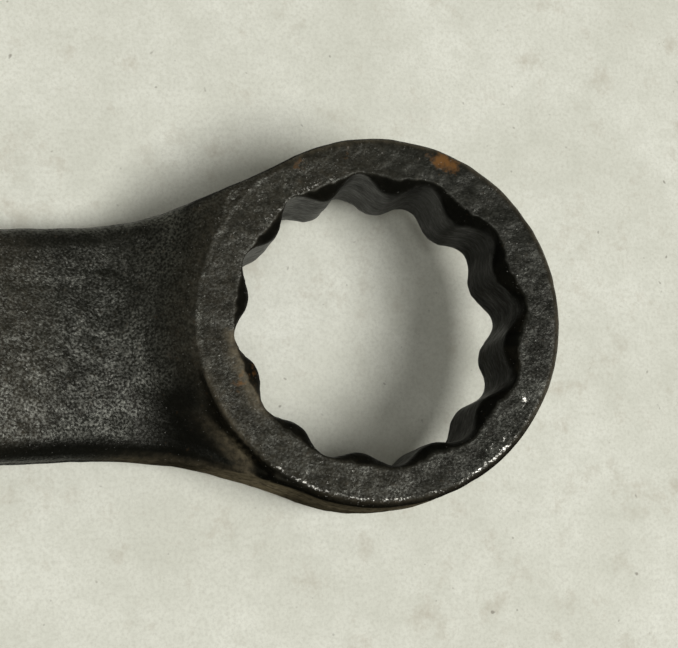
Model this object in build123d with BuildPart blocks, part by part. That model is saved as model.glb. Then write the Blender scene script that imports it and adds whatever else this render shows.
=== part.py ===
from build123d import *
from math import atan, cos, radians, sin, sqrt, tan
import os

# Twelve-point combination wrench, drop forged in one piece: a box end whose ring is
# offset upwards, a flat shank, and an open end whose jaws are turned in plan.
# Origin: centre of the box opening, midway between the ring's two faces.
# +X runs from the open end to the box end and +Z is up, with the wrench lying as it
# rests on a bench, on the heel of its ring and the underside of its open end.
# Millimetres and degrees.

# Nut that both ends fit
nut_across_flats = 28.575
wrench_clearance = 0.225

# Box end
ring_offset_angle = 15.0
ring_thickness = 16.2
ring_wall = 4.6
ring_draft_angle = 1.5
ring_edge_radius = 0.9
point_turn = 4.0
point_corner_radius = 1.5
point_ridge_radius = 2.5
mouth_land = 0.3
mouth_cone_angle = 38.0
box_neck_radius = 60.0
box_collar_radius = 9.0
collar_sweep_angle = 70.0

# Shank
centre_distance = 355.0
shank_width = 26.2
shank_thickness = 8.6
shank_edge_radius = 2.6

# Open end
jaw_angle = 15.0
jaw_wall = 15.0
head_thickness = 11.0
head_setback = 2.0
head_draft_angle = 4.0
head_edge_radius = 1.6
head_neck_radius = 34.0
head_collar_radius = 24.0
jaw_reach = 15.5
throat_depth = 17.4
throat_corner_radius = 8.0
jaw_tip_radius = 3.0
jaw_mouth_radius = 1.2
jaw_edge_break = 0.5

# Depth to which one portion of the forging runs into the next, and the distance by
# which a trimming outline clears the surface that it leaves whole
merge_depth = 2.5
trim_margin = 0.05

# Worked out from the sizes above
opening = nut_across_flats + wrench_clearance
tilt = radians(ring_offset_angle)
turn_of_jaws = radians(jaw_angle)
ring_half = ring_thickness / 2
head_half = head_thickness / 2
shank_half = shank_thickness / 2
shank_half_width = shank_width / 2
notch_radius = opening / 2 / cos(radians(30)) - point_corner_radius * (1 / cos(radians(30)) - 1)
ring_outer_radius = notch_radius + ring_wall
ring_face_radius = ring_outer_radius - ring_half * tan(radians(ring_draft_angle))
head_radius = opening / 2 + jaw_wall
head_face_radius = head_radius - head_half * tan(radians(head_draft_angle))
mouth_radius = notch_radius + mouth_land
cone_depth = (mouth_radius - opening / 2) / tan(radians(mouth_cone_angle))

# Radius of the flat part of each face, inside its rounded rim
ring_flat_radius = ring_face_radius - ring_edge_radius / tan(radians(45 + ring_draft_angle / 2))
head_flat_radius = head_face_radius - head_edge_radius / tan(radians(45 + head_draft_angle / 2))

# The heel is the lowest point of the ring's rounded lower rim. The open end is set so
# that its underside lies level with it.
bench_z = -ring_flat_radius * sin(tilt) - (ring_half - ring_edge_radius) * cos(tilt) - ring_edge_radius
shank_z = bench_z + head_half
shank_top = shank_z + shank_half
shank_bottom = shank_z - shank_half
nut_x = -centre_distance
head_x = nut_x + head_setback * cos(turn_of_jaws)

ring_plane = Plane((0, 0, 0), x_dir=(cos(tilt), 0, sin(tilt)), z_dir=(-sin(tilt), 0, cos(tilt)))
head_plane = Plane((head_x, 0, shank_z), x_dir=(-cos(turn_of_jaws), -sin(turn_of_jaws), 0), z_dir=(0, 0, 1))


def neck_points(circle_radius, blend_radius):
    """Plan of a neck, measured from the centre of the round end that it joins: a concave
    arc that leaves the shank's edge in line with it and meets the circle in line too.

    Returns how far out the arc leaves the shank, its middle, and where it meets the circle."""
    centre_y = shank_half_width + blend_radius
    reach = sqrt((circle_radius + blend_radius) ** 2 - centre_y ** 2)
    share = circle_radius / (circle_radius + blend_radius)
    half_turn = atan(reach / centre_y) / 2
    middle = (reach - blend_radius * sin(half_turn), centre_y - blend_radius * cos(half_turn))
    return reach, middle, (reach * share, centre_y * share)


def collar_run(rise, radius):
    """Level distance over which an arc of the given radius climbs away from flat."""
    return sqrt(2 * radius * rise - rise ** 2)


def disc_profile(half_height, parting_radius, face_radius, edge_radius):
    """Half section of a forged disc: flat faces, drafted sides and rounded rims."""
    with BuildSketch(Plane.XZ) as profile:
        with BuildLine():
            Polyline((0, -half_height), (face_radius, -half_height), (parting_radius, 0),
                     (face_radius, half_height), (0, half_height), close=True)
        make_face()
        fillet(profile.vertices().group_by(Axis.X)[1], radius=edge_radius)
    return profile.sketch


# Ring of the box end
with BuildPart() as ring:
    add(disc_profile(ring_half, ring_outer_radius, ring_face_radius, ring_edge_radius))
    revolve(axis=Axis.Z)

# Plan of the shank and of the necks that widen into both ends
box_reach, box_middle, box_meet = neck_points(ring_face_radius, box_neck_radius)
head_reach, head_middle, head_meet = neck_points(head_face_radius, head_neck_radius)
with BuildSketch() as shank_plan:
    with BuildLine():
        Line((-box_meet[0], 0), (-box_meet[0], box_meet[1]))
        ThreePointArc((-box_meet[0], box_meet[1]), (-box_middle[0], box_middle[1]),
                      (-box_reach, shank_half_width))
        Line((-box_reach, shank_half_width), (head_x + head_reach, shank_half_width))
        ThreePointArc((head_x + head_reach, shank_half_width),
                      (head_x + head_middle[0], head_middle[1]),
                      (head_x + head_meet[0], head_meet[1]))
        Line((head_x + head_meet[0], head_meet[1]), (head_x + head_meet[0], 0))
        mirror(about=Plane.XZ)
    make_face()

# Collar of the box end: a concave sweep that carries the shank's upper face up to the rim
# of the ring. It is carried on past the rim, and the ring's face trims it. Underneath,
# the ring's rounded rim stands just proud of the shank and is the wrench's heel.
face_centre = ring_plane.from_local_coords((0, 0, ring_half))
face_rim = ring_plane.from_local_coords((-ring_flat_radius, 0, ring_half))
collar_start = face_rim.X - collar_run(face_rim.Z - shank_top, box_collar_radius)
sweep = radians(collar_sweep_angle)
collar_end = (collar_start + box_collar_radius * sin(sweep), shank_top + box_collar_radius * (1 - cos(sweep)))
with BuildPart() as box_collar:
    with BuildSketch(Plane.XZ):
        with BuildLine():
            RadiusArc((collar_start, shank_top), collar_end, box_collar_radius)
            Polyline(collar_end, (collar_end[0] + merge_depth, collar_end[1]),
                     (collar_end[0] + merge_depth, shank_z), (collar_start, shank_z),
                     (collar_start, shank_top))
        make_face()
    revolve(axis=Axis((face_centre.X, 0, 0), (0, 0, 1)))
    extrude(shank_plan.sketch, amount=centre_distance, both=True, mode=Mode.INTERSECT)

# Shank with its collar: rounded long edges, and nothing proud of the ring's two faces
with BuildPart() as shank:
    with BuildSketch(Plane.XY.offset(shank_bottom)):
        add(shank_plan.sketch)
    extrude(amount=shank_thickness)
    add(box_collar.part)
    long_edges = shank.edges().filter_by(Axis.Z, reverse=True).filter_by(Plane.YZ, reverse=True)
    long_edges = long_edges.filter_by(lambda edge: abs(edge.center().Y) > shank_half_width - merge_depth)
    fillet(long_edges, radius=min(shank_edge_radius, shank_half - trim_margin))
    with Locations(ring_plane.offset(ring_half), ring_plane.offset(-ring_half) * Rotation(180, 0, 0)):
        Cylinder(ring_outer_radius + box_collar_radius, ring_thickness,
                 align=(Align.CENTER, Align.CENTER, Align.MIN), mode=Mode.SUBTRACT)

# Open head, about the centre of its disc and along its jaws: drafted sides, trimmed to
# two jaws that stand either side of a parallel slot
with BuildPart() as head:
    add(disc_profile(head_half, head_radius, head_face_radius, head_edge_radius))
    revolve(axis=Axis.Z)
    with BuildSketch() as jaws:
        Circle(head_radius + trim_margin)
        with Locations((head_setback + jaw_reach, 0)):
            Rectangle(head_radius, 2 * head_radius, align=(Align.MIN, Align.CENTER), mode=Mode.SUBTRACT)
        with Locations((head_setback - throat_depth, 0)):
            Rectangle(2 * head_radius, opening, align=(Align.MIN, Align.CENTER), mode=Mode.SUBTRACT)
        fillet(jaws.vertices().group_by(Axis.X)[0], radius=throat_corner_radius)
        fillet(jaws.vertices().group_by(Axis.X)[-1].sort_by(Axis.Y)[1:3], radius=jaw_mouth_radius)
        tips = jaws.vertices().group_by(Axis.X)[-1].sort_by(Axis.Y)
        fillet([tips[0], tips[-1]], radius=jaw_tip_radius)
    extrude(amount=head_thickness, both=True, mode=Mode.INTERSECT)
    slot_side = opening / 2 + jaw_mouth_radius
    slot_rims = head.edges().filter_by(Plane.XY).filter_by_position(Axis.Y, -slot_side, slot_side)
    slot_rims = slot_rims.filter_by_position(Axis.X, head_setback - throat_depth, head_setback + jaw_reach)
    chamfer(slot_rims, length=jaw_edge_break)

# Collar of the open end: shallow sweeps from the shank's two faces to the head's
collar_foot = head_flat_radius + collar_run(head_half - shank_half, head_collar_radius)
with BuildPart() as head_collar:
    with BuildSketch(Plane.XZ):
        with BuildLine():
            Polyline((head_flat_radius - merge_depth, 0), (head_flat_radius - merge_depth, head_half),
                     (head_flat_radius, head_half))
            RadiusArc((head_flat_radius, head_half), (collar_foot, shank_half), head_collar_radius)
            Line((collar_foot, shank_half), (collar_foot, 0))
            mirror(about=Plane.XZ)
        make_face()
    revolve(axis=Axis.Z)
    with BuildSketch():
        add(shank_plan.sketch.moved(Location((-head_x, 0, 0))))
    extrude(amount=head_thickness, both=True, mode=Mode.INTERSECT)

# Opening of the box end: two hexagons a twelfth of a turn apart, with rounded corners,
# and a cone at each face that leads the nut in
with BuildPart() as box_opening:
    with BuildSketch() as points:
        for turn in (0, 30):
            RegularPolygon(opening / 2, 6, major_radius=False, rotation=point_turn + turn)
        fillet(points.vertices().sort_by_distance((0, 0, 0))[12:], radius=point_corner_radius)
        fillet(points.vertices().sort_by_distance((0, 0, 0))[:12], radius=point_ridge_radius)
    extrude(amount=ring_thickness, both=True)
    with BuildSketch(Plane.XZ):
        with BuildLine():
            Polyline((0, ring_half - cone_depth), (opening / 2, ring_half - cone_depth),
                     (mouth_radius, ring_half), (mouth_radius, ring_thickness),
                     (0, ring_thickness), close=True)
        make_face()
        mirror(about=Plane.XZ)
    revolve(axis=Axis.Z)

# The whole forging
with BuildPart() as combination_wrench:
    with Locations(ring_plane):
        add(ring.part)
    add(shank.part)
    with Locations(ring_plane):
        add(box_opening.part, mode=Mode.SUBTRACT)
    with Locations(Plane.XY.offset(shank_z) * Pos(head_x, 0, 0)):
        add(head_collar.part)
    with Locations(head_plane):
        add(head.part)
combination_wrench.part.label = "combination_wrench"

os.makedirs("parts", exist_ok=True)
export_step(combination_wrench.part, "parts/combination_wrench.step")

size = combination_wrench.part.bounding_box()
print("low", size.min, "high", size.max)
print("bench level", bench_z, "across the points", 2 * notch_radius)
print("nut in the jaws", head_plane.from_local_coords((head_setback, 0, 0)))
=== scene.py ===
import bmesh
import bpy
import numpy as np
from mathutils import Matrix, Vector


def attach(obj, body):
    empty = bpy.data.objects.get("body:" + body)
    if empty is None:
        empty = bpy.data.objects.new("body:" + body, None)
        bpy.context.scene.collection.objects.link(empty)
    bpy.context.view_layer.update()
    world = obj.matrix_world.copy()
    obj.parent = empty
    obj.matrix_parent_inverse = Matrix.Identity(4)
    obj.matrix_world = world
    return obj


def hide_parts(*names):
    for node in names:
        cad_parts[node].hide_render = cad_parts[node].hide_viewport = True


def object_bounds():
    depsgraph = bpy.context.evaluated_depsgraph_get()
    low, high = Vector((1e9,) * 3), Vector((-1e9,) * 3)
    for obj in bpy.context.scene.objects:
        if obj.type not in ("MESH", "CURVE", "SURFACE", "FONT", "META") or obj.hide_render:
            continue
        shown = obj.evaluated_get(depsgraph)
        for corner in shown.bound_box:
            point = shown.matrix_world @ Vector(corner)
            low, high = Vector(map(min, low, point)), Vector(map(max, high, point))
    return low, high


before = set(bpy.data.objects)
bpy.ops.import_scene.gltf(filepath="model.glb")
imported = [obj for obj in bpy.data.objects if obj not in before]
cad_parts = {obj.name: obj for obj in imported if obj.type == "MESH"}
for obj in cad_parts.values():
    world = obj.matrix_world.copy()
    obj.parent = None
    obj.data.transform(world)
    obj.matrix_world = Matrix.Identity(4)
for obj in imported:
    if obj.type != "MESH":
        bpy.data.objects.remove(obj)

# %% [markdown]
# # A worn combination wrench, drop forged in one piece
#
# The real tool is one forging: a ring with a twelve-point opening, a flat shank, and a
# head with two jaws. Nothing on it is joined or moves. The CAD model has its nominal
# sizes, and this lesson gives it the skin of a used forging: rounded rims, a worn
# opening, a parting line, black oxide and a little rust.

MM = 0.001
cad_low, cad_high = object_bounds()
print("CAD box", [round(v, 5) for v in cad_low], [round(v, 5) for v in cad_high])

# %% [markdown]
# ## The sizes that the skin shares with the CAD model
#
# A skin that is drawn over a CAD solid takes its sizes from the same drawing, in the
# same frame. The origin is the middle of the ring's opening, X runs along the shank to
# the ring, and Z is up. The bench level is read from the CAD model itself.
#
# Some sizes are the worn tool's own and differ from the drawing by a few tenths of a
# millimetre: the ring's face and its flat, the opening's mouth and its worn middle.
#
# A hexagon's corner is as far out as its flat, times one over the cosine of thirty
# degrees, and rounding the corner gives a part of that back. A wall with draft leans in
# from the parting line, by its height times the tangent of the draft. Three sizes that
# are worked out in this way are kept to four decimals.

# %% Sizes of the forging, in millimetres and radians
bench = cad_low.z / MM
opening = 28.8
tilt = np.radians(15.0)
ring_half = 8.1
ring_wall = 4.6
point_corner = 1.5
corner_stretch = 1 / np.cos(np.radians(30.0))
point_reach = opening / 2 * corner_stretch - point_corner * (corner_stretch - 1)
ring_parting = round(point_reach + ring_wall, 4)
ring_face = 20.93
ring_flat = 20.15
mouth_radius = 16.34
mouth_slope = 0.85
worn_radius = 15.10
neck_blend = 60.0
collar_radius = 9.0

half_width = 13.1
half_thickness = 4.3
head_half = 5.5
shank_edge = 2.6
shank_level = bench + head_half
shank_top = shank_level + half_thickness
shank_bottom = shank_level - half_thickness

centre_distance = 355.0
jaw_turn = np.radians(15.0)
jaw_wall = 15.0
slot_half = opening / 2
head_setback = 2.0
head_x = -centre_distance + head_setback * np.cos(jaw_turn)
head_draft = np.radians(4.0)
head_edge = 1.6
head_face = round(slot_half + jaw_wall - head_half * np.tan(head_draft), 4)
head_flat = round(head_face - head_edge / np.tan(np.radians(45.0) + head_draft / 2), 4)
head_blend = 34.0
head_collar = 24.0
jaw_reach = 17.5
throat_depth = 15.4
throat_corner = 8.0
jaw_tip = 3.0
jaw_mouth = 1.2
slot_break = 0.5
print("bench level", round(bench, 3), "shank level", round(shank_level, 3))
print("parting line", round(ring_parting, 4), "head", round(head_face, 4), "flat", round(head_flat, 4))

# %% [markdown]
# ## Small helpers for smooth shapes
#
# A forging has no hard inner corners, so its surfaces run into each other softly. The
# usual trick is a smooth step, which goes from 0 to 1 without a kink, and a smooth
# minimum, which follows the lower of two heights and rounds the place where they cross.

# %% Soft steps and soft minima
def soft_step(value, start, end):
    """0 before start, 1 after end, and three squares less two cubes between them."""
    share = np.clip((value - start) / (end - start), 0, 1)
    return share * share * (3 - 2 * share)


def soft_min(a, b, width):
    """The lower of a and b, less a quarter of width where they meet, fading to nothing at width."""
    gap = np.clip(1 - np.abs(a - b) / width, 0, 1)
    return np.minimum(a, b) - width * gap * gap / 4


def soft_max(a, b, width):
    """The higher of a and b, rounded where they cross: minus the soft minimum of minus a and b."""
    return -soft_min(-a, -b, width)


print("a quarter of the way along, a soft step has climbed to", soft_step(0.25, 0, 1))

# %% [markdown]
# ## Bending the flat wrench
#
# The ring is tilted up by fifteen degrees, and the shank is level. It is simplest to work
# out the wrench as if it lay flat, with u along it, v across it and h above its middle
# plane, and then to bend it, as a smith does. Behind the ring the lean fades from fifteen
# degrees to none over some fifteen millimetres.

# %% The bend between ring and shank
bend_start = -21.5
drop = bend_start * np.sin(tilt) - shank_level
bend_count = 800
bend_share = np.linspace(0, 1, bend_count + 1)
bend_lean = tilt * (1 - soft_step(bend_share, 0, 1))
bend_run = drop / np.mean(np.sin(bend_lean))
bend_u = bend_start - bend_share * bend_run
bend_step = np.r_[0, np.full(bend_count, bend_run / bend_count)]
middle_lean = np.r_[bend_lean[0], (bend_lean[1:] + bend_lean[:-1]) / 2]
bend_x = bend_start * np.cos(tilt) - np.cumsum(np.cos(middle_lean) * bend_step)
bend_z = bend_start * np.sin(tilt) - np.cumsum(np.sin(middle_lean) * bend_step)


def bend(u, v, h):
    """Carries flat points to their place: the middle line's point at u, plus h along its
    normal, which leans back by the angle that the line has there."""
    lean = np.interp(u, bend_u[::-1], bend_lean[::-1])
    x = np.interp(u, bend_u[::-1], bend_x[::-1])
    z = np.interp(u, bend_u[::-1], bend_z[::-1])
    ring_side = np.maximum(u - bend_start, 0)
    shank_side = np.minimum(u - bend_u[-1], 0)
    x = x + ring_side * np.cos(tilt) + shank_side
    z = z + ring_side * np.sin(tilt)
    return np.stack([x - h * np.sin(lean), v + 0 * x, z + h * np.cos(lean)], -1)


print("bend is", round(bend_run, 2), "mm long and ends at x =", round(bend_x[-1], 2))

# %% [markdown]
# ## Heights of the two faces
#
# The shank's upper face climbs to the ring in a concave collar that runs round the ring.
# Its height is worked out in the room, over each X and Y, and a search then finds the h
# at which the bent point lies on it. The search halves its interval thirty times, for all
# the points at once.

# %% Upper and lower skin of the neck
face_x = -ring_half * np.sin(tilt)
rim_x = -ring_flat * np.cos(tilt) + face_x
rim_z = -ring_flat * np.sin(tilt) + ring_half * np.cos(tilt)
collar_rise = rim_z - shank_top
collar_foot = face_x - rim_x + np.sqrt(2 * collar_radius * collar_rise - collar_rise ** 2)
crown = 1.1


def crown_drop(y):
    """The shank's faces are slightly domed: they fall off with the square of the way out,
    which the hyperbolic tangent levels off past the shank's own width."""
    return crown * np.tanh((y / half_width) ** 2)


def collar_height(x, y, shoulder):
    """Height of the collar: a circle's arc that leaves the shank's face at collar_foot
    from the middle of the ring's face, and rolls over softly where it meets the ring's
    own face. On the far side it is fuller and runs into the ring with no rim to be seen.
    A shoulder of 1 lifts it to that face, where the neck runs into the ring's side."""
    away = np.hypot(x - face_x, y)
    full = soft_step(y, -13, 1)
    gap = collar_foot + 2.2 * full + 2.0 * soft_step(y, 5, 17) - away
    arc_end = 0.95 * collar_radius
    climb = np.clip(gap, 0, arc_end)
    beyond = np.maximum(gap - arc_end, 0)
    arc = shank_top - crown_drop(y) + collar_radius - np.sqrt(collar_radius ** 2 - climb ** 2) + 3 * beyond
    plane = (ring_half + x * np.sin(tilt)) / np.cos(tilt)
    lifted = arc + shoulder * np.maximum(plane - arc, 0)
    return soft_min(plane, lifted, (2.2 + 3.6 * full) * (1 - shoulder) + 0.01)


def settle(u, v, skin, low, high):
    """The h at which the bent point lies on the skin, found by halving between low and high."""
    low = np.full(np.shape(u), float(low))
    high = np.full(np.shape(u), float(high))
    for _ in range(30):
        h = (low + high) / 2
        x, y, z = np.moveaxis(bend(u, v, h), -1, 0)
        above = z > skin(x, y)
        high, low = np.where(above, h, high), np.where(above, low, h)
    return (low + high) / 2


def ring_dome(away):
    """Half height of the bare ring: flat, then a quarter circle at the rim, then straight down."""
    edge = ring_face - ring_flat
    over = np.clip(away - ring_flat, 0, edge)
    return ring_half - edge + np.sqrt(edge ** 2 - over ** 2) - 20 * np.maximum(away - ring_face, 0)


def top_height(u, v):
    """Height of the upper face over the middle plane: the ring's own, or the collar's where
    that is higher, with a small hollow where the ring's side rises out of the collar."""
    away = np.hypot(u, v)
    shoulder = soft_step(np.arctan2(np.abs(v), -u), 0.62, 1.02)
    collar = settle(u, v, lambda x, y: collar_height(x, y, shoulder), -6, ring_half + 1)
    collar = np.where(shoulder < 1, collar, -9.0)
    return soft_max(ring_dome(away), collar, 0.9 * soft_step(away, ring_flat, ring_flat + 0.8) + 1e-6)


def bottom_height(u, v):
    """The lower face: the ring's, and past its rounded heel the shank's, which is a little higher."""
    shank = settle(u, v, lambda x, y: shank_bottom + crown_drop(y), -ring_half - 6, 6)
    past = soft_step(np.hypot(u, v), ring_flat - 0.2, ring_flat + 1.6)
    return -ring_half * (1 - past) + np.maximum(shank, -ring_half) * past


print("collar foot", round(collar_foot, 2), "mm from the middle of the ring's face")

# %% [markdown]
# ## The twelve-point opening
#
# Two hexagons, one turned by thirty degrees, give twelve points. Years of nuts have worn
# them to a soft wave, each lobe a little different. The wave is a cosine with twelve
# periods, and a few slow waves vary its height, its lean and its distance. The numbers of
# the slow waves weren't chosen one by one: a least-squares fit to the worn edge of a real
# ring gave them, as it gave the wave's turn and its two radii.

# %% Radius of the opening
point_turn = np.radians(3.2)
ridge_radius, point_radius = 14.75, 16.57
swell_waves = (0.019, 0.157), (-0.028, 0.013), (0.018, -0.049)
lean_waves = (0.019, 0.035), (0.054, -0.147), (0.069, 0.063)
shift_waves = (-0.040, 0.025), (-0.044, -0.088), (0.051, 0.028)


def slow(turn, waves):
    """Sum of slow waves: for each pair, the first times the cosine of so many turns plus
    the second times their sine."""
    return sum(a * np.cos(k * turn) + b * np.sin(k * turn) for k, (a, b) in enumerate(waves, 1))


def opening_radius(turn):
    """Mean radius plus half the wave's height times the cosine of twelve turns, where
    height, lean and mean vary slowly round the ring."""
    phase = 12 * (turn - point_turn) + slow(turn, lean_waves)
    half = (point_radius - ridge_radius) / 2 * (1 + slow(turn, swell_waves))
    return (point_radius + ridge_radius) / 2 + slow(turn, shift_waves) + half * np.cos(phase)


def hole_radius(turn, h):
    """The opening's wave, worn wider towards each face: a long taper that eats the ridges,
    and over it a short steep cone that nuts have made ragged, with a rounded lip. The cone
    is widest on the side away from the shank, and there it follows the wave."""
    depth = ring_half - np.abs(h)
    wave = np.cos(12 * (turn - point_turn) + slow(turn, lean_waves))
    far_side = 0.5 + 0.5 * np.cos(turn - 0.1)
    mouth = mouth_radius + 0.38 * far_side + (0.05 + 0.37 * far_side) * wave
    rough = 0.05 * np.sin(7 * turn + 1) + 0.07 * np.sin(31 * turn)
    rough = rough + 0.07 * np.sin(53 * turn + 2) + 0.06 * np.sin(79 * turn)
    cone = mouth + rough * (0.6 - 0.4 * wave) - depth * (mouth_slope - 0.35 * wave)
    taper = worn_radius - 0.26 * depth
    lip = 0.15 * (1 - np.sqrt(1 - np.clip(1 - depth / 0.3, 0, 1) ** 2))
    return soft_max(soft_max(opening_radius(turn), taper, 0.5), cone, 0.12) + lip


print("ridges", ridge_radius, "mm and points", point_radius, "mm from the middle")

# %% [markdown]
# ## Where the outline lies
#
# Seen from above, each end is a circle, and a hollow arc carries it over to the shank. A
# ray from the middle of the end meets first the circle or, near the shank, that arc. The
# grid's columns are such rays, so round the circle they stay square to the rims.

# %% Distance and direction of the outline along a ray
def outline_along(turn, radius, blend, inset):
    """For rays turned by `turn` from the shank: the distance to the outline, set in by
    inset, and the outline's outward direction there.
    Circle: radius less inset. Arc: the nearer of the two places where the ray meets the
    circle of radius blend plus inset about the arc's middle."""
    side = half_width + blend
    along = np.sqrt((radius + blend) ** 2 - side ** 2)
    slant = np.abs(turn)
    onto = along * np.cos(slant) + side * np.sin(slant)
    under = onto ** 2 - (along ** 2 + side ** 2) + (blend + inset) ** 2
    hits = onto - np.sqrt(np.maximum(under, 0))
    on_arc = (slant < np.arctan2(side, along)) & (under > 0)
    distance = np.where(on_arc, hits, np.where(slant < 0.6, 1e3, radius - inset))
    x, y = distance * np.cos(slant), distance * np.sin(slant)
    nx = np.where(on_arc, (along - x) / (blend + inset), np.cos(slant))
    ny = np.where(on_arc, (side - y) / (blend + inset), np.sin(slant))
    return distance, nx, ny * np.sign(turn)


def half_width_at(way, radius, blend):
    """Half width of the shank at a distance `way` from the middle of an end: straight,
    then out along the hollow arc."""
    side = half_width + blend
    along = np.sqrt((radius + blend) ** 2 - side ** 2)
    into = np.clip(along - way, 0, 0.9 * blend)
    return half_width + blend - np.sqrt(blend ** 2 - into ** 2)


print("half width 30 mm from the ring's middle", round(half_width_at(30.0, ring_face, neck_blend), 2))

# %% [markdown]
# ## The side of the forging
#
# All the way round, the side is the same small profile: a rounded upper edge, a wall that
# leans outwards to the middle, where the two dies met and left a thin trimmed line, and a
# rounded lower edge. One function works it out, as offsets out from the inset outline and
# down from the upper face.

# %% Profile of the side
edge_steps, wall_steps = 5, 14
side_steps = 2 * edge_steps + wall_steps


def side_profile(top, bottom, edge, draft, flash):
    """Offsets and heights of the side, one row per column of the grid: quarter circles of
    radius edge, and between them a wall that bulges by draft, with a bump of height flash."""
    sizes = np.broadcast_arrays(top, bottom, edge, draft, flash)
    top, bottom, edge, draft, flash = [np.asarray(size, float)[:, None] for size in sizes]
    quarter = np.linspace(0, np.pi / 2, edge_steps + 1)[None]
    upper = edge * np.sin(quarter), top - edge * (1 - np.cos(quarter))
    spread = np.linspace(-1, 1, wall_steps + 1)[1:-1][None]
    spread = np.sign(spread) * np.abs(spread) ** 1.5
    height = (top + bottom) / 2 - spread * (top - bottom - 2 * edge) / 2
    bump = flash * np.exp(-((height - (top + bottom) / 2) / 0.42) ** 2)
    wall = edge + draft * (1 - np.abs(spread)) + bump, height
    lower = edge * np.cos(quarter), bottom + edge * (1 - np.sin(quarter))
    return tuple(np.concatenate([a + 0 * top, b, c + 0 * top], 1) for a, b, c in zip(upper, wall, lower))


print("the side has", side_steps, "steps from the upper face to the lower")

# %% [markdown]
# ## The ring
#
# The ring's grid goes round the opening in one direction and round the ring's own section
# in the other: over the upper face from the opening to the rim, down the side, back under
# the lower face and up through the opening. Where the shank leaves, the columns reach on
# to the collar's foot and have no side.

# %% Grid of the ring
face_steps = 24
ring_columns, shank_columns = 380, 48
foot_reach = 31.5


def ring_edge_at(slant):
    """Radius of the rounded outer edge: small on the ring, growing along the neck."""
    return ring_face - ring_flat + (shank_edge - ring_face + ring_flat) * (1 - soft_step(slant, 0.42, 0.80))


slants = np.linspace(0.2, 0.9, 4001)
reaches = outline_along(slants, ring_face, neck_blend, ring_edge_at(slants))[0]
foot_slant = np.interp(-foot_reach, -reaches[reaches < 1e3], slants[reaches < 1e3])
turns = np.r_[np.linspace(-np.pi + foot_slant, np.pi - foot_slant, ring_columns + 1)[:-1],
              np.linspace(np.pi - foot_slant, np.pi + foot_slant, shank_columns + 1)[:-1]]
slant = (2 * np.pi - turns) % (2 * np.pi) - np.pi
edge = ring_edge_at(np.abs(slant))
reach, nx, ny = outline_along(slant, ring_face, neck_blend, edge)
in_neck = np.arange(turns.size) >= ring_columns
reach = np.where(in_neck, foot_reach, reach)
outward = np.stack([-nx, ny], -1)
print("columns round the ring", turns.size, "reach", round(reach.min(), 2), round(reach.max(), 2))

# %% Rows of the ring's two faces
def face_rows(inner, outer, steps):
    """Radii of the rows from the opening to the outline: even on the bare ring, and in the
    neck crowded where the rim is."""
    share = np.linspace(0, 1, steps + 1)[None]
    even = inner[:, None] + share * (outer - inner)[:, None]
    rim_end = np.minimum(ring_flat + 1.5, (outer + ring_flat - 0.7) / 2)
    knots = np.stack([inner, np.full_like(inner, ring_flat - 0.7), rim_end, outer])
    place = np.array([0, 0.33, 0.72, 1.0])
    crowd = np.stack([np.interp(share[0], place, k) for k in knots.T])
    weight = soft_step(outer, 20.5, 25.0)[:, None]
    return even * (1 - weight) + crowd * weight


mouth = hole_radius(turns, ring_half)
top_rows = face_rows(mouth, reach, face_steps)
cos_t, sin_t = np.cos(turns)[:, None], np.sin(turns)[:, None]
top_u, top_v = top_rows * cos_t, top_rows * sin_t
top_h = top_height(top_u, top_v)
low_u, low_v = top_u[:, ::-1], top_v[:, ::-1]
low_h = bottom_height(low_u, low_v)
print("the opening's mouth is", round(mouth.min(), 2), "to", round(mouth.max(), 2), "mm from the middle")

# %% The ring's side and the opening's wall
out_shift, side_h = side_profile(top_h[:, -1], low_h[:, 0], edge, ring_parting - ring_face - 0.05, 0.16)
side_u = top_u[:, -1:] + out_shift * outward[:, :1]
side_v = top_v[:, -1:] + out_shift * outward[:, 1:]

depths = np.r_[0, 0.06, 0.15, 0.35, 0.8, 1.3, 1.9, 2.6]
hole_h = np.r_[-ring_half + depths, np.linspace(-5.0, 5.0, side_steps - 13)[1:-1], ring_half - depths[::-1]]
hole_h = np.interp(np.linspace(0, 1, side_steps + 1), np.linspace(0, 1, hole_h.size), hole_h)
hole_r = hole_radius(turns[:, None], hole_h[None])
hole_u, hole_v = hole_r * cos_t, hole_r * sin_t


def join_strips(*strips):
    """Strips of a grid side by side, closed in a loop: each leaves out its last column,
    which is the next one's first."""
    return np.concatenate([strip[:, :-1] for strip in strips], 1)


loop_u = join_strips(top_u, side_u, low_u, hole_u)
loop_v = join_strips(top_v, side_v, low_v, hole_v)
loop_h = join_strips(top_h, side_h, low_h, 0 * hole_u + hole_h)
ring_points = bend(loop_u, loop_v, loop_h)
loop = 2 * (face_steps + side_steps)
print("ring grid", ring_points.shape)

# %% [markdown]
# ## The open head
#
# The head is a disc with a slot. Its grid runs from the tip of one jaw round the throat to
# the tip of the other, and across from the slot's edge to the outline. The two curves are
# paired at a few listed places, and everything between is spread evenly.

# %% Outline and slot of the head
def arc_points(middle, radius, start, end, count):
    """Points on a circle's arc and their outward directions, with angles in degrees."""
    angle = np.radians(np.linspace(start, end, count))
    way = np.stack([np.cos(angle), np.sin(angle)], -1)
    return np.array(middle) + radius * way, way


def path_length(points):
    """How far along a path of many short lines each of its points lies."""
    return np.r_[0, np.cumsum(np.hypot(*np.diff(points, axis=0).T))]


def path_at(points, directions, places):
    """Points and directions at the given lengths along a path: what lies between two of
    its points is mixed from both, and the directions are made one long again."""
    length = path_length(points)
    there, way = [np.stack([np.interp(places, length, side) for side in pairs.T], -1)
                  for pairs in (points, directions)]
    return there, way / np.hypot(*way.T)[:, None]


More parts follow.
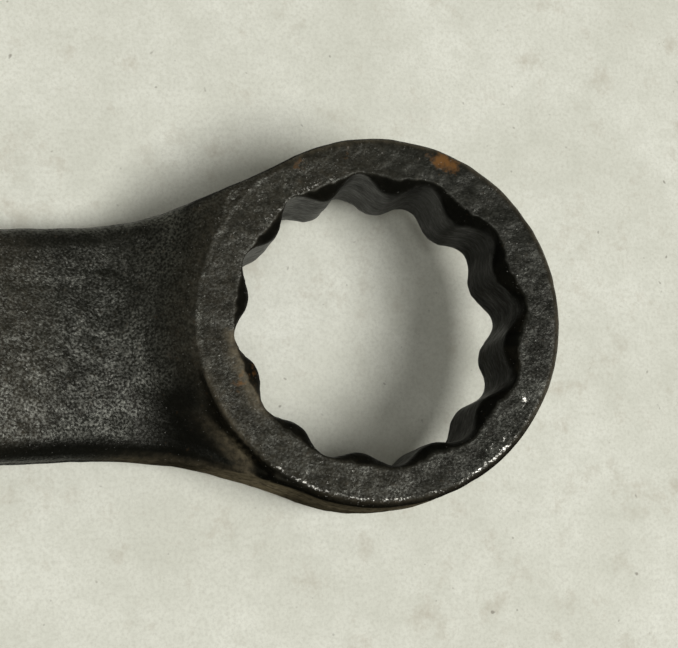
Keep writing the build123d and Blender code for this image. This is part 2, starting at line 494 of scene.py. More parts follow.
# half of the slot's edge, from the flat end of a jaw's tip to the middle of the throat,
# with directions that point into the slot
tip_inner, tip_outer = 17.2, 19.8
mouthwards = [[1.0, 0.0]]
corner_middle = jaw_reach - jaw_mouth, slot_half + jaw_mouth
corner, corner_way = arc_points(corner_middle, jaw_mouth, 0, -90, 40)
throat_middle = -throat_depth + throat_corner, slot_half - throat_corner
throat, throat_way = arc_points(throat_middle, throat_corner, 90, 180, 60)
slot_edge = np.concatenate([[[jaw_reach, tip_inner]], corner, throat, [[-throat_depth, 0.0]]])
slot_way = np.concatenate([mouthwards, corner_way, -throat_way, mouthwards])
print("slot edge has", len(slot_edge), "points on each side")

# %% Pairing the head's two curves
head_tip_columns, head_columns = 12, 150
tip_middle = np.sqrt((head_face - jaw_tip) ** 2 - (jaw_reach - jaw_tip) ** 2)
tip_angle = np.degrees(np.arctan2(tip_middle, jaw_reach - jaw_tip))
tip_arc, tip_way = arc_points((jaw_reach - jaw_tip, tip_middle), jaw_tip, 0, tip_angle, 40)
tip_line = np.concatenate([[[jaw_reach, tip_outer]], tip_arc])
tip_line_way = np.concatenate([mouthwards, tip_way])


def head_foot_slant():
    """Turn from the shank at which the inset outline is as far out as the collar's foot."""
    slants = np.linspace(0.15, 0.9, 4001)
    reaches = outline_along(slants, head_face, head_blend, head_edge_at(slants))[0]
    seen = reaches < 1e3
    return np.interp(-head_foot, -reaches[seen], slants[seen])


def head_edge_at(slant):
    """Radius of the head's rounded edge, growing along the neck to the shank's."""
    return head_edge + (shank_edge - head_edge) * (1 - soft_step(slant, 0.45, 0.95))


head_rise = head_half - half_thickness
head_foot = head_flat + np.sqrt(2 * head_collar * head_rise - head_rise ** 2) + 0.5
head_slant = head_foot_slant()
print("head's collar ends", round(head_foot, 2), "mm from its middle")

# %% Columns of the head, turned into the room's directions
mouth_way = np.pi + jaw_turn
first_turn = mouth_way + np.radians(tip_angle) - 2 * np.pi
last_turn = mouth_way - np.radians(tip_angle)
before = int(head_columns * (-head_slant - first_turn) / (last_turn - first_turn - 2 * head_slant))
main_turns = np.r_[np.linspace(first_turn, -head_slant, before + 1)[:-1],
                   np.linspace(-head_slant, head_slant, shank_columns + 1)[:-1],
                   np.linspace(head_slant, last_turn, head_columns - before + 1)]
head_side = head_edge_at(np.abs(main_turns))
main_reach, main_nx, main_ny = outline_along(main_turns, head_face, head_blend, head_side)
head_in_neck = (np.arange(main_turns.size) >= before) & (np.arange(main_turns.size) <= before + shank_columns)
main_reach = np.where(head_in_neck, head_foot, main_reach)
main_out = np.stack([main_reach * np.cos(main_turns), main_reach * np.sin(main_turns)], -1)
main_way = np.stack([main_nx, main_ny], -1)


def into_room(points):
    """Turns head coordinates, mouth along the first axis, into the room's X and Y."""
    d = np.array([-np.cos(jaw_turn), -np.sin(jaw_turn)])
    e = np.array([np.sin(jaw_turn), -np.cos(jaw_turn)])
    return points[..., :1] * d + points[..., 1:] * e


mirror = np.array([1.0, -1.0])
tip_places = np.linspace(0, 1, head_tip_columns + 1)[:-1]
tip_points, tip_ways = path_at(tip_line, tip_line_way, tip_places * path_length(tip_line)[-1])
tip_inset = tip_points - tip_ways * head_edge
tip_side = np.full(head_tip_columns, head_edge)
head_out = np.concatenate([into_room(tip_inset), main_out, into_room(tip_inset * mirror)[::-1]])
head_way = np.concatenate([into_room(tip_ways), main_way, into_room(tip_ways * mirror)[::-1]])
head_side = np.concatenate([tip_side, head_side, tip_side])
print("outline of the head has", len(head_out), "points")

# %% The slot's edge, paired with the outline
turn_from_mouth = np.degrees(mouth_way - main_turns) % 360
folded = 180 - np.abs(turn_from_mouth - 180)
# turns from the mouth, in degrees, and the lengths along the slot's edge paired with them
keys = np.array([tip_angle, 100.0, 138.0, 180.0])
spots = np.array([4.6, 17.0, 31.5, 44.4])
spots = spots * path_length(slot_edge)[-1] / spots[-1]
places = np.interp(folded, keys, spots)
side_sign = np.where(turn_from_mouth > 180, 1.0, -1.0)[:, None]
flip = np.concatenate([np.ones_like(side_sign), side_sign], 1)


def round_the_slot(tip, middle):
    """A curve from one jaw's tip to the other's, in the room: a tip, the stretch round the
    throat, and the first tip mirrored and read backwards."""
    return np.concatenate([into_room(tip), into_room(middle * flip), into_room(tip * mirror)[::-1]])


main_in, main_in_way = path_at(slot_edge, slot_way, places)
tip_in, tip_in_way = path_at(slot_edge, slot_way, tip_places * places.min())
head_in = round_the_slot(tip_in, main_in)
head_in_way = round_the_slot(tip_in_way, main_in_way)
head_first = head_tip_columns + before
print("columns of the head", len(head_out), "neck from", head_first)

# %% Heights and grid of the head
def head_height(away):
    """Half thickness of the head: flat, then over a soft crest into a shallow hollow arc
    that runs down to the shank's."""
    climb = np.clip(head_foot - away, 0, 0.8 * head_collar)
    arc = half_thickness + head_collar - np.sqrt(head_collar ** 2 - climb ** 2)
    return soft_min(head_half + 0 * away, arc, 1.2)


share = np.linspace(0, 1, face_steps + 1)[None, :, None]
inner_edge = head_in - head_in_way * slot_break
face_xy = inner_edge[:, None] * (1 - share) + head_out[:, None] * share
face_h = head_height(np.hypot(face_xy[..., 0], face_xy[..., 1]))
toward = soft_step(face_xy[..., 0], 14.0, 34.0)
face_h = face_h - crown_drop(face_xy[..., 1]) * toward * (np.abs(face_xy[..., 1]) < 14)
side_shift, side_z = side_profile(face_h[:, -1], -face_h[:, -1], head_side, 0.16, 0.12)
side_xy = head_out[:, None] + side_shift[..., None] * head_way[:, None]
slot_knots = [-head_half, -head_half + slot_break, head_half - slot_break, head_half]
slot_z = np.interp(np.linspace(0, 1, side_steps + 1), [0, 0.08, 0.92, 1], slot_knots)
slot_shift = slot_break * np.clip((np.abs(slot_z) - head_half + slot_break) / slot_break, 0, 1)
slot_xy = head_in[:, None] - slot_shift[None, :, None] * head_in_way[:, None]
head_xy = join_strips(face_xy, side_xy, face_xy[:, ::-1], slot_xy)
head_z = join_strips(face_h, side_z, -face_h[:, ::-1], slot_z[None] + 0 * face_h[:, :1])
head_points = np.concatenate([head_xy + [head_x, 0.0], (head_z + shank_level)[..., None]], -1)
print("head grid", head_points.shape)

# %% [markdown]
# ## The shank
#
# The shank is a tube whose first and last loops are the open edges of the ring's grid and
# of the head's, so the three grids share their corners. Between them each line runs
# straight, and its place across and its height come from the shank's own section. What is
# left over at the two ends fades out along the first stretch.

# %% Loops at both ends of the shank
def open_loop(points, columns):
    """The loop round the place where a grid is left open: across the upper face, down the
    side, back under the lower face and up the other side."""
    first, last = columns[0], columns[-1]
    top = points[columns, face_steps]
    down = points[last, face_steps + 1:face_steps + side_steps]
    under = points[columns[::-1], face_steps + side_steps]
    up = points[first, face_steps + 1:face_steps + side_steps][::-1]
    return np.concatenate([top, down, under, up])


ring_neck = (np.arange(ring_columns, ring_columns + shank_columns + 1)) % turns.size
head_neck = np.arange(head_first, head_first + shank_columns + 1)[::-1]
start_loop = open_loop(ring_points, ring_neck)
end_loop = open_loop(head_points, head_neck)
print("loops of", len(start_loop), "and", len(end_loop), "points")

# %% The shank's own section
one = np.ones(side_steps - 1)
start_across = start_loop[:shank_columns + 1, 1] / start_loop[0, 1]
end_across = end_loop[:shank_columns + 1, 1] / end_loop[0, 1]


def shank_section(x, spread):
    """The section of the shank at each x: across the faces, domed by the crown, and round
    the two sides by the side's profile. `spread` is the place across, from 1 to -1."""
    ring_width = half_width_at(-x, ring_face, neck_blend)
    head_width = half_width_at(x - head_x, head_face, head_blend)
    flat = ring_width + head_width - half_width - shank_edge
    edge_top = half_thickness - crown_drop(half_width - shank_edge)
    shift, height = side_profile([edge_top], [-edge_top], [shank_edge], [0.1], [0.14])
    n = shank_columns + 1
    m = n + side_steps - 1
    top_y = spread[:, :n] * flat[:, :n]
    low_y = spread[:, m:m + n] * flat[:, m:m + n]
    down_y = -flat[:, n:m] - shift[:, 1:-1]
    up_y = flat[:, m + n:] + shift[:, 1:-1][:, ::-1]
    wall = height[:, 1:-1] + 0 * down_y
    top_z = half_thickness - crown_drop(top_y)
    low_z = -half_thickness + crown_drop(low_y)
    y = np.concatenate([top_y, down_y, low_y, up_y], 1)
    z = np.concatenate([top_z, wall, low_z, wall[:, ::-1]], 1)
    return y, z + shank_level


stations, fade_run = 190, 22.0
way = np.interp(np.linspace(0, 1, stations + 1), [0, 0.28, 0.36, 0.9, 1], [0, 0.10, 0.16, 0.93, 1])[:, None]
x = start_loop[None, :, 0] * (1 - way) + end_loop[None, :, 0] * way
start_spread = np.r_[start_across, -one, start_across[::-1], one]
end_spread = np.r_[end_across, -one, end_across[::-1], one]
spread = start_spread[None] * (1 - way) + end_spread[None] * way
y, z = shank_section(x, spread)
length = start_loop[0, 0] - end_loop[0, 0]
fade_start = 1 - soft_step(way * length, 0, fade_run)
fade_end = 1 - soft_step((1 - way) * length, 0, fade_run)
y = y + (start_loop[None, :, 1] - y[:1]) * fade_start + (end_loop[None, :, 1] - y[-1:]) * fade_end
z = z + (start_loop[None, :, 2] - z[:1]) * fade_start + (end_loop[None, :, 2] - z[-1:]) * fade_end
shank_points = np.stack([x, y, z], -1)
print("shank grid", shank_points.shape, "step", round(length / stations, 2), "mm")

# %% [markdown]
# ## Joining the grids
#
# A grid becomes faces by joining each point to its neighbours. The three grids and the
# two small caps on the jaws' tips are put in one mesh, their shared points are merged,
# and the faces are turned outwards. What comes out is one closed skin. It has a known
# fault: beside the jaws' tips nearly four hundred very thin faces stay folded over, too
# small to be seen.

# %% Faces of a grid
def grid_faces(rows, columns, first, around=False):
    """Quads of a grid whose points are numbered row by row from first. With around, the
    last column is joined to the first."""
    index = first + np.arange(rows * columns).reshape(rows, columns)
    if around:
        index = np.concatenate([index, index[:, :1]], 1)
    return np.stack([index[:-1, :-1], index[:-1, 1:], index[1:, 1:], index[1:, :-1]], -1)


side_rows = slice(face_steps, face_steps + side_steps)
ring_index = np.concatenate([ring_points, ring_points[:1]], 0)
ring_quads = grid_faces(turns.size + 1, loop, 0, around=True)
keep = np.ones(ring_quads.shape[:2], bool)
keep[ring_columns:ring_columns + shank_columns, side_rows] = False
parts = [(ring_index, ring_quads[keep])]
head_quads = grid_faces(len(head_points), loop, 0, around=True)
keep = np.ones(head_quads.shape[:2], bool)
keep[head_first:head_first + shank_columns, side_rows] = False
parts.append((head_points, head_quads[keep]))
parts.append((shank_points, grid_faces(stations + 1, shank_points.shape[1], 0, around=True).reshape(-1, 4)))
print("faces of ring, head and shank", [quads.shape[0] for _, quads in parts])

# %% Caps of the jaws' tips
def tip_cap(column):
    """Joins the slot's side of a jaw's tip to its outer side: a straight blend of the two,
    row by row, which carries their rounded edges across the tip. Its first and last rows
    are those of the two faces."""
    under = face_steps + side_steps
    outer = head_points[column, face_steps:under + 1]
    inner = np.concatenate([head_points[column, :1], head_points[column, face_steps + under:][::-1]])
    share = np.linspace(0, 1, face_steps + 1)[None, :, None]
    cap = inner[:, None] * (1 - share) + outer[:, None] * share
    cap[0] = head_points[column, :face_steps + 1]
    cap[-1] = head_points[column, under:under + face_steps + 1][::-1]
    return cap


for column in (0, -1):
    cap = tip_cap(column)
    parts.append((cap, grid_faces(cap.shape[0], cap.shape[1], 0).reshape(-1, 4)))
print("parts of the skin", [p.reshape(-1, 3).shape[0] for p, _ in parts])

# %% One closed skin
points = np.concatenate([p.reshape(-1, 3) for p, _ in parts])
offsets = np.cumsum([0] + [p.reshape(-1, 3).shape[0] for p, _ in parts[:-1]])
quads = np.concatenate([q.reshape(-1, 4) + o for (_, q), o in zip(parts, offsets)])
used = np.unique(quads)
renumber = np.zeros(len(points), int)
renumber[used] = np.arange(used.size)
skin = bpy.data.meshes.new("forged_wrench")
skin.from_pydata((points[used] * MM).tolist(), [], renumber[quads].tolist())
work = bmesh.new()
work.from_mesh(skin)
bmesh.ops.remove_doubles(work, verts=work.verts, dist=2e-6)
bmesh.ops.dissolve_degenerate(work, edges=work.edges, dist=1e-7)
bmesh.ops.recalc_face_normals(work, faces=work.faces)
loose = sum(1 for e in work.edges if len(e.link_faces) != 2)
work.to_mesh(skin)
work.free()
skin.polygons.foreach_set("use_smooth", np.ones(len(skin.polygons), bool))
print("skin", len(skin.vertices), "points", len(skin.polygons), "faces,", loose, "edges without two faces")
wrench = bpy.data.objects.new("forged_wrench", skin)
bpy.context.scene.collection.objects.link(wrench)

# %% [markdown]
# ## Hammer marks and pitting
#
# A forging is never quite flat: the dies wear, scale is pressed in, and blasting leaves
# the skin slightly uneven. A sum of many sine waves in random directions gives such an
# unevenness from the places of the points alone, and the points move along their normals.
# One small chip is knocked out of the ring's upper face. The result is held inside the
# CAD model's box.

# %% Uneven skin
def waves(places, size, seed, count=40):
    """Sum of sine waves of about the given length in millimetres, in random directions,
    scaled so that it spreads by about one."""
    rng = np.random.default_rng(seed)
    way = rng.normal(size=(count, 3))
    way /= np.linalg.norm(way, axis=1)[:, None]
    pace = 2 * np.pi / (size * rng.uniform(0.7, 1.6, count))
    shift = rng.uniform(0, 2 * np.pi, count)
    return np.sin(places @ (way * pace[:, None]).T + shift).sum(1) * np.sqrt(2 / count)


places = np.empty(len(skin.vertices) * 3)
skin.vertices.foreach_get("co", places)
places = places.reshape(-1, 3) / MM
normals = np.array([v.vector[:] for v in skin.vertex_normals])
bumps = 0.024 * waves(places, 5.0, 3) + 0.012 * waves(places, 2.4, 5) + 0.006 * waves(places, 1.3, 8)
bumps -= 0.04 * soft_step(waves(places, 3.2, 11), 1.1, 2.4)
chip_u, chip_v = 16.06, -10.16
chip_x = chip_u * np.cos(tilt) - ring_half * np.sin(tilt)
chip_z = chip_u * np.sin(tilt) + ring_half * np.cos(tilt)
from_chip = np.linalg.norm(places - [chip_x, chip_v, chip_z], axis=1)
bumps -= 0.12 * np.exp(-(from_chip / 0.5) ** 2)
margin = 0.02
low = np.array(cad_low) / MM + margin
high = np.array(cad_high) / MM - margin
shaped = np.clip(places + normals * bumps[:, None], low, high)
skin.vertices.foreach_set("co", (shaped * MM).ravel())
skin.update()
print("skin moved by", round(bumps.min(), 3), "to", round(bumps.max(), 3), "mm")

# %% [markdown]
# ## Where the skin is worn, stained or rusty, and where light and shade are painted
#
# Paint programs hold such things as masks. Here a mask is a number at each point of the
# skin, kept as an attribute that the material can read. Most are worked out from the
# place of the point in the ring's own plane: its distance from the middle, its turn, and
# its height over the ring's middle plane. The others also read where it lies along the
# shank, and which way the skin looks there.

# %% Places in the ring's plane
room_x, room_y, room_z = shaped.T
ring_u = room_x * np.cos(tilt) + room_z * np.sin(tilt)
ring_h = -room_x * np.sin(tilt) + room_z * np.cos(tilt)
away = np.hypot(ring_u, room_y)
turn = np.degrees(np.arctan2(room_y, ring_u))
upper = soft_step(ring_h, 5.5, 7.2)


def near(value, middle, spread):
    """A bell: 1 at the middle and about a third at one spread from it."""
    return np.exp(-((value - middle) / spread) ** 2)


def spot(u, v, radius):
    """A round patch on the ring's upper face, fading over its radius."""
    return near(np.hypot(ring_u - u, room_y - v), 0, radius) * upper


def mask(name, values):
    """Keeps the values, held between 0 and 1, as an attribute of the skin's points."""
    layer = skin.attributes.new(name, "FLOAT", "POINT")
    layer.data.foreach_set("value", np.clip(values, 0, 1).astype(np.float32))
    print(name, "covers", round(float(np.mean(np.clip(values, 0, 1))), 4))

# %% Masks of bare steel and rust
lower_side = soft_step(-turn, 28, 50) * soft_step(turn, -138, -124)
upper_left = soft_step(turn, 98, 110) * soft_step(-turn, -144, -134)
broken = soft_step(waves(shaped, 2.2, 21), -0.9, 0.9)
rub = 1.1 * near(away, 20.26, 0.17) * upper * (0.10 + 0.90 * lower_side) * (0.45 + 0.55 * broken)
nicks = (-57, 20.0), (-53.5, 19.7), (-50, 19.9), (-47, 19.3), (-35, 20.1), (-52, 18.9)
for nick_turn, nick_away in nicks:
    rub += 0.75 * near(turn, nick_turn, 1.5) * near(away, nick_away + 0.25 * broken, 0.16) * upper
rub += 0.50 * near(away, 16.85, 0.30) * upper * upper_left
rub += 0.10 * upper * soft_step(away, 16.4, 16.9) + 1.2 * spot(chip_u, chip_v, 0.42)
mask("rub", rub)
rust = near(away, 19.75, 0.95) * near(turn, 62.8, 5.2) * upper
for spot_u, spot_v, radius, share in ((-2.4, 19.0, 0.8, 0.35), (-7.7, 18.1, 0.8, 0.35),
                                      (-14.6, -4.9, 1.2, 0.35), (-16.3, -6.2, 1.0, 0.4)):
    rust += share * spot(spot_u, spot_v, radius)
mask("rust", rust)

# %% Mask of brown stains, and of painted bounce light on the near flank
line_lean = np.interp(room_x, bend_x[::-1], bend_lean[::-1])
line_z = np.interp(room_x, bend_x[::-1], bend_z[::-1]) + np.maximum(room_x - bend_x[0], 0) * np.tan(tilt)
over_middle = (room_z - line_z) * np.cos(line_lean)
flank = 1 - soft_step(np.abs(normals[:, 2]), 0.45, 0.75)
flank *= soft_step(away, 20.4, 20.7) * soft_step(np.hypot(room_x - head_x, room_y), 25.5, 26.5)
near_side = soft_step(-room_y, 2, 15)
stain_and_bounce = 0.6 * near(away, 16.6, 0.8) * upper * soft_step(np.abs(turn), 140, 152) * (room_y < 0)
stain_and_bounce += 0.28 * near(away, 20.7, 0.8) * near(turn, -152, 16) * soft_step(ring_h, 3, 6)
stain_and_bounce += 0.30 * near(away, 20.7, 0.35) * upper * (1 - soft_step(np.abs(turn), 105, 125))
stain_and_bounce += 0.08 * upper * soft_step(-room_x, -8, 8)
# Painted light: below its dark top, the near flank is coloured a light brown that stands in for the light the
# paper throws back. Its brown tint is the forging's own.
stain_and_bounce += 1.4 * flank * near_side * (1 - soft_step(over_middle, 4.8, 5.8)) * soft_step(room_x, -34, -20)
inside = soft_step(-ring_h, -8.07, -7.92) * soft_step(-away, -17.7, -17.4)
stain_and_bounce += 0.22 * inside * near(turn, -12, 24) * soft_step(waves(shaped, 3.0, 31), -0.3, 1.0)
mask("stain_and_bounce", stain_and_bounce)

# %% [markdown]
# ## Painted shade, and where the crust is dull or smooth
#
# The other masks change the crust itself, and one paints shade. Where the painted-shade mask
# is full, the skin is nearly black and has almost no sheen: in the opening, on the long
# edges, along the top of the flanks, on the ring's near rim, and in the hollow where the
# ring's near side meets the neck. The same mask draws a dark line along the parting line.
# Matt skin is dusty and mirrors little, as on the near flank. Smooth skin has had its grain
# ironed flat by nuts and hands, in the opening and on the ring's face. The collar's mask
# marks the hollow round the ring, which mirrors more.

# %% Mask of painted shade, and of the dark parting line
wave = np.cos(12 * (np.radians(turn) - point_turn) + slow(np.radians(turn), lean_waves))
# Painted shade in the opening, deepest on the walls that face away from the window and on the mouth's steep
# cone over the ridges.
painted_shade_and_parting_line = inside * (0.78 + 0.14 * near(turn, -8, 50) + 0.25 * soft_step(ring_h, 6.9, 7.3) * (0.3 - 0.7 * wave))
# Painted shade along the top of the flanks.
painted_shade_and_parting_line = np.maximum(painted_shade_and_parting_line, flank * soft_step(over_middle, 4.8, 5.8))
# A dark line along the parting line.
painted_shade_and_parting_line = np.maximum(painted_shade_and_parting_line, flank * 0.7 * near(over_middle, 0, 0.25))
# Painted shade on the long edges, most on the near side.
long_edge = soft_step(np.abs(normals[:, 1]), 0.20, 0.38) * soft_step(normals[:, 2], 0.2, 0.4)
painted_shade_and_parting_line = np.maximum(painted_shade_and_parting_line, 0.95 * long_edge * soft_step(away, 21.5, 23) * soft_step(-room_y, -20, 6))
# Painted shade on the ring's rounded outer rim, on its near, lower side.
lower_rim = near(away, 20.75, 0.3) * lower_side
painted_shade_and_parting_line = np.maximum(painted_shade_and_parting_line, lower_rim)
# Painted shade in the hollow where the ring's near side meets the neck.
hollow = near(room_x, -22.5, 6.0) * soft_step(-room_y, 4, 12) * soft_step(away, 20.9, 21.8)
painted_shade_and_parting_line = np.maximum(painted_shade_and_parting_line, hollow)
mask("painted_shade_and_parting_line", painted_shade_and_parting_line)

# %% Masks of matt and of smooth skin, and of the collar
mask("matt", flank * near_side * soft_step(room_x, -45, -25) + 0.8 * lower_rim)
ring_top = (0.38 + 0.36 * near(turn, 55, 50)) * upper * soft_step(-away, -21.5, -20.5)
mask("smooth", np.maximum(inside, ring_top))
mask("collar", near(away, 25.6, 3.0) * soft_step(normals[:, 2], 0.3, 0.6) * soft_step(room_y, -12, -2))

# %% [markdown]
# ## Black oxide, worn to the steel
#
# Black oxide is a thin, slightly glossy crust over grey steel. Up close it glitters,
# because every grain of the blasted skin mirrors the window in its own way. So the grain
# goes into the bump, at its true size of a few tenths of a millimetre, and the colour
# stays dark. Where hands and benches have rubbed the rims, the grains' tips are bare
# steel, and rust sits where the crust has gone.

# %% Node helpers
def new_material(name):
    """An empty node material with one Principled shader, ready to be linked."""
    made = bpy.data.materials.new(name)
    made.use_nodes = True
    nodes = made.node_tree.nodes
    return made, nodes, made.node_tree.links, nodes["Principled BSDF"]


def noise(nodes, links, place, size, detail=3.0, roughness=0.55):
    """Noise whose patches are about `size` millimetres across, by Object coordinates."""
    made = nodes.new("ShaderNodeTexNoise")
    made.inputs["Scale"].default_value = 1 / (size * MM)
    made.inputs["Detail"].default_value = detail
    made.inputs["Roughness"].default_value = roughness
    links.new(place, made.inputs["Vector"])
    return made.outputs["Fac"]


def remap(nodes, links, value, old_low, old_high, new_low=0.0, new_high=1.0):
    """Stretches a value from one range to another and holds it there."""
    made = nodes.new("ShaderNodeMapRange")
    made.inputs["From Min"].default_value = old_low
    made.inputs["From Max"].default_value = old_high
    made.inputs["To Min"].default_value = new_low
    made.inputs["To Max"].default_value = new_high
    links.new(value, made.inputs["Value"])
    return made.outputs["Result"]


def sums(nodes, links, kind, first, second):
    """A Math node: multiply, add and so on. Each side is a socket or a number."""
    made = nodes.new("ShaderNodeMath")
    made.operation = kind
    for socket, value in zip(made.inputs, (first, second)):
        if isinstance(value, (int, float)):
            socket.default_value = value
        else:
            links.new(value, socket)
    return made.outputs[0]


def blend_colour(nodes, links, share, first, second):
    """Mixes two colours by a share. Each is a colour socket or three numbers."""
    made = nodes.new("ShaderNodeMix")
    made.data_type = "RGBA"
    links.new(share, made.inputs[0])
    for socket, value in zip((made.inputs[6], made.inputs[7]), (first, second)):
        if isinstance(value, tuple):
            socket.default_value = (*value, 1)
        else:
            links.new(value, socket)
    return made.outputs[2]


def bump(nodes, links, height, depth, under=None):
    """A bump of the given depth in millimetres, laid over another bump."""
    made = nodes.new("ShaderNodeBump")
    made.inputs["Distance"].default_value = depth * MM
    links.new(height, made.inputs["Height"])
    if under is not None:
        links.new(under, made.inputs["Normal"])
    return made.outputs["Normal"]


print("node helpers:", [helper.__name__ for helper in (noise, remap, sums, blend_colour, bump)])

# %% Material of the forging
oxide, nodes, links, shader = new_material("worn_black_oxide")
place = nodes.new("ShaderNodeTexCoord").outputs["Object"]
masks = {}
for name in ("rub", "rust", "stain_and_bounce", "painted_shade_and_parting_line", "matt", "smooth", "collar"):
    read = nodes.new("ShaderNodeAttribute")
    read.attribute_name = name
    masks[name] = read.outputs["Fac"]
grain = noise(nodes, links, place, 0.30, 2.0, 0.7)
glint = noise(nodes, links, place, 0.29, 1.0, 0.5)
crust = noise(nodes, links, place, 0.75, 3.0, 0.6)
cloud = noise(nodes, links, place, 6.0, 4.0, 0.6)
deep_black, black, pale_black = (0.0055, 0.0055, 0.0040), (0.0090, 0.0090, 0.0068), (0.014, 0.0135, 0.010)
coat = blend_colour(nodes, links, remap(nodes, links, cloud, 0.35, 0.65), deep_black, black)
coat = blend_colour(nodes, links, remap(nodes, links, crust, 0.52, 0.68, 0.0, 0.6), coat, pale_black)
print("coat is made of", len(nodes), "nodes")

# %% Stains with painted bounce light, painted shade, and rust
# The stains' brown is light enough to paint, on the near flank, the light that the paper throws back; the
# near black is the colour of painted shade.
stain_and_bounce_brown, painted_shade_black, rust_red = (0.150, 0.125, 0.082), (0.0025, 0.0025, 0.0018), (0.150, 0.070, 0.021)
brown = sums(nodes, links, "MULTIPLY", remap(nodes, links, crust, 0.36, 0.60, 0.40, 1.0), masks["stain_and_bounce"])
coat = blend_colour(nodes, links, brown, coat, stain_and_bounce_brown)
# Painted shade turns the coat nearly black.
painted_shade_share = remap(nodes, links, masks["painted_shade_and_parting_line"], 0.0, 1.0, 0.0, 0.85)
coat = blend_colour(nodes, links, painted_shade_share, coat, painted_shade_black)
ragged = remap(nodes, links, crust, 0.3, 0.7, -0.30, 0.30)
rusty = remap(nodes, links, sums(nodes, links, "ADD", masks["rust"], ragged), 0.27, 0.85, 0.0, 0.85)
coat = blend_colour(nodes, links, rusty, coat, rust_red)
print("with stains, soot and rust", len(nodes), "nodes")

# %% Bare tips and dullness
bare_steel = (0.40, 0.39, 0.35)
rubbed = sums(nodes, links, "MULTIPLY", masks["rub"], 0.30)
tips = remap(nodes, links, sums(nodes, links, "ADD", grain, rubbed), 0.70, 0.88)
coat = blend_colour(nodes, links, tips, coat, bare_steel)
links.new(coat, shader.inputs["Base Color"])
links.new(sums(nodes, links, "MULTIPLY", tips, 0.9), shader.inputs["Metallic"])
dull = remap(nodes, links, crust, 0.35, 0.65, 0.32, 0.44)
dull = sums(nodes, links, "ADD", dull, sums(nodes, links, "MULTIPLY", rusty, 0.3))
dull = sums(nodes, links, "ADD", dull, sums(nodes, links, "MULTIPLY", masks["matt"], 0.4))
links.new(dull, shader.inputs["Roughness"])
print("with bare tips", len(nodes), "nodes")

# %% Sheen and relief
patch = noise(nodes, links, place, 2.2, 1.0, 0.5)
sheen = remap(nodes, links, glint, 0.38, 0.70, 0.06, 0.62)
even = sums(nodes, links, "MULTIPLY", sums(nodes, links, "SUBTRACT", 0.17, sheen), masks["smooth"])
sheen = sums(nodes, links, "ADD", sheen, even)
brown_and_rust = sums(nodes, links, "ADD", brown, rusty)
# Painted shade also takes away the sheen, all but a faint even one.
changes = (
    ("MULTIPLY", patch, 0.30, 0.70, 0.50, 1.20),
    ("MULTIPLY", masks["painted_shade_and_parting_line"], 0.0, 1.0, 1.0, 0.0),
    ("ADD", masks["painted_shade_and_parting_line"], 0.0, 1.0, 0.0, 0.018),
    ("MULTIPLY", masks["collar"], 0.0, 1.0, 1.0, 2.3),
    ("MULTIPLY", masks["matt"], 0.0, 0.9, 1.0, 0.0),
    ("MULTIPLY", brown_and_rust, 0.0, 1.0, 1.0, 0.1),
)
for kind, value, *ranges in changes:
    sheen = sums(nodes, links, kind, sheen, remap(nodes, links, value, *ranges))
links.new(sheen, shader.inputs["Specular IOR Level"])
shader.inputs["Specular Tint"].default_value = (1.0, 1.0, 0.86, 1)
relief = remap(nodes, links, masks["smooth"], 0.0, 1.0, 1.0, 0.1)
coarse = bump(nodes, links, patch, 0.16, bump(nodes, links, crust, 0.07))
skin_normal = bump(nodes, links, grain, 0.060, coarse)
links.new(relief, skin_normal.node.inputs["Strength"])
links.new(skin_normal, shader.inputs["Normal"])
skin.materials.append(oxide)

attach(wrench, "root")
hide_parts("combination_wrench")
print("oxide is made of", len(nodes), "nodes")

# %% [markdown]
# ## The bench
#
# The wrench lies on pale drawing paper. The paper is a plain sheet at the level of the
# wrench's heel, and it belongs to the stage, not to the part. Its fibres, smudges, blots
# and flecks are the same thing at four sizes: noise that is cut off below some level and
# mixes in one more colour. So they are one loop over four rows.

# %% Material of the paper
sheet, nodes, links, shader = new_material("pale_paper")
place = nodes.new("ShaderNodeTexCoord").outputs["Object"]
mottle = remap(nodes, links, noise(nodes, links, place, 14.0, 4.0, 0.6), 0.3, 0.7)
paper_colour = blend_colour(nodes, links, mottle, (0.59, 0.59, 0.505), (0.70, 0.70, 0.615))
# size in millimetres, detail and roughness of the noise, where it starts and is full, how
# much shows at most, and its colour: fibres, smudges, blots and flecks
marks = (
    (0.45, 3.0, 0.70, 0.420, 0.72, 0.45, (0.42, 0.41, 0.34)),
    (5.0, 6.0, 0.72, 0.550, 0.80, 0.80, (0.42, 0.38, 0.30)),
    (2.0, 3.0, 0.60, 0.400, 0.75, 0.35, (0.50, 0.50, 0.42)),
    (1.1, 1.0, 0.40, 0.765, 0.83, 0.60, (0.13, 0.11, 0.085)),
)
for size, detail, roughness, start, full, most, colour in marks:
    pattern = noise(nodes, links, place, size, detail, roughness)
    shown = remap(nodes, links, pattern, start, full, 0.0, most)
    paper_colour = blend_colour(nodes, links, shown, paper_colour, colour)
links.new(paper_colour, shader.inputs["Base Color"])
shader.inputs["Roughness"].default_value = 0.9
shader.inputs["Specular IOR Level"].default_value = 0.2
print("paper is made of", len(nodes), "nodes")

# %% Sheet of paper
sheet_half = 3.0
sheet_mesh = bpy.data.meshes.new("paper")
ways = (-1, -1), (1, -1), (1, 1), (-1, 1)
corners = [(sheet_half * way_x, sheet_half * way_y, cad_low.z) for way_x, way_y in ways]
sheet_mesh.from_pydata(corners, [], [(0, 1, 2, 3)])
sheet_mesh.materials.append(sheet)
paper = bpy.data.objects.new("paper", sheet_mesh)
bpy.context.scene.collection.objects.link(paper)
print("sheet of", 2 * sheet_half, "m at", round(cad_low.z / MM, 3), "mm")

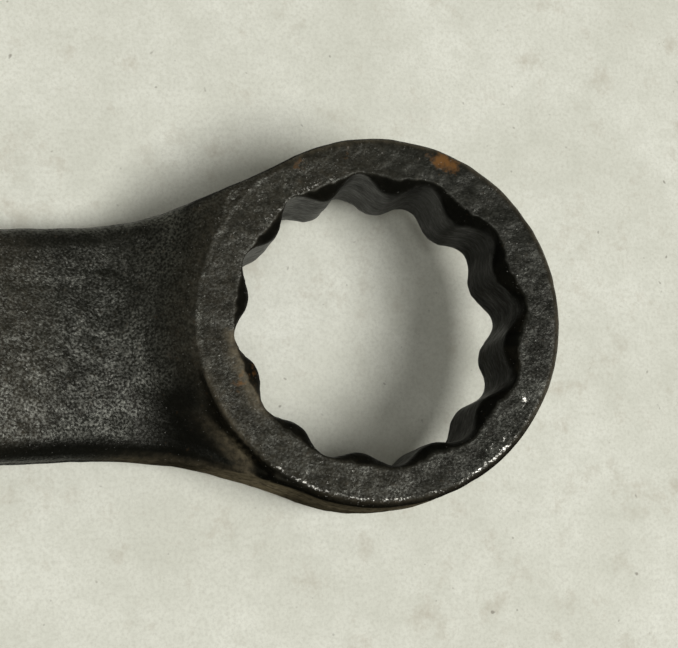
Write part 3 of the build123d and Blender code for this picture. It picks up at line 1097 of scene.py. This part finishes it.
# %% [markdown]
# ## Window light
#
# Two soft windows stand high over the near side: a broad one, which gives most of the
# light, and a smaller and much weaker one over the shank. A plain room, pale low down and
# darker above, fills the shadows. A window that looks twenty-five degrees wide gives
# shadows that are sharp where the wrench touches the paper and soft where it stands clear
# of it.

# %% Window and room
def aim(thing, target):
    """Turns a lamp so that it shines at the target."""
    thing.rotation_euler = (Vector(target) - thing.location).to_track_quat("-Z", "Y").to_euler()


def soft_lamp(name, way, width, power):
    """A round area lamp 2 m off in the given direction, `width` degrees wide as seen
    from the wrench, aimed at the ring."""
    lamp = bpy.data.objects.new(name, bpy.data.lights.new(name, "AREA"))
    bpy.context.scene.collection.objects.link(lamp)
    far = 2.0
    lamp.data.shape = "DISK"
    lamp.data.size = 2 * far * np.tan(np.radians(width / 2))
    lamp.data.energy = power
    lamp.location = Vector(way).normalized() * far
    aim(lamp, (0, 0, 0))


soft_lamp("window", (0.205, -0.245, 1.0), 25.0, 34.6)
soft_lamp("second_window", (-0.40, -0.14, 1.0), 16.0, 7.0)

room = bpy.data.worlds.new("room")
bpy.context.scene.world = room
room.use_nodes = True
nodes, links = room.node_tree.nodes, room.node_tree.links
height = nodes.new("ShaderNodeSeparateXYZ")
links.new(nodes.new("ShaderNodeTexCoord").outputs["Generated"], height.inputs["Vector"])
walls = remap(nodes, links, height.outputs["Z"], 0.10, 0.20)
wall_colour = blend_colour(nodes, links, walls, (0.55, 0.545, 0.49), (0.15, 0.148, 0.133))
links.new(wall_colour, nodes["Background"].inputs["Color"])
nodes["Background"].inputs["Strength"].default_value = 1.0
bpy.context.scene.view_settings.view_transform = "Standard"

# %% [markdown]
# ## The camera
#
# A camera is placed by a point and by two directions, its own right and up. The third,
# from the wrench back to the camera, is square to both. The long lens keeps the ring's
# near and far sides almost the same size. Its place, its directions and its lens came out
# of a fit to the outlines of a real ring and shank.

# %% Camera
camera = bpy.data.objects.new("camera", bpy.data.cameras.new("camera"))
bpy.context.scene.collection.objects.link(camera)
camera.data.sensor_width = 36.0
camera.data.lens = 124.12
camera.data.clip_start = 0.01
right = Vector((0.9077094, -0.0773475, 0.4124088))
up = Vector((0.0193878, 0.9895447, 0.1429173))
back = right.cross(up)
turned = Matrix((right, up, back)).transposed().to_4x4()
camera_place = Vector((-116.284, -32.068, 242.110)) * MM
camera.matrix_world = Matrix.Translation(camera_place) @ turned
bpy.context.scene.camera = camera
print("camera stands", round(camera_place.length / MM), "mm from the middle of the opening")
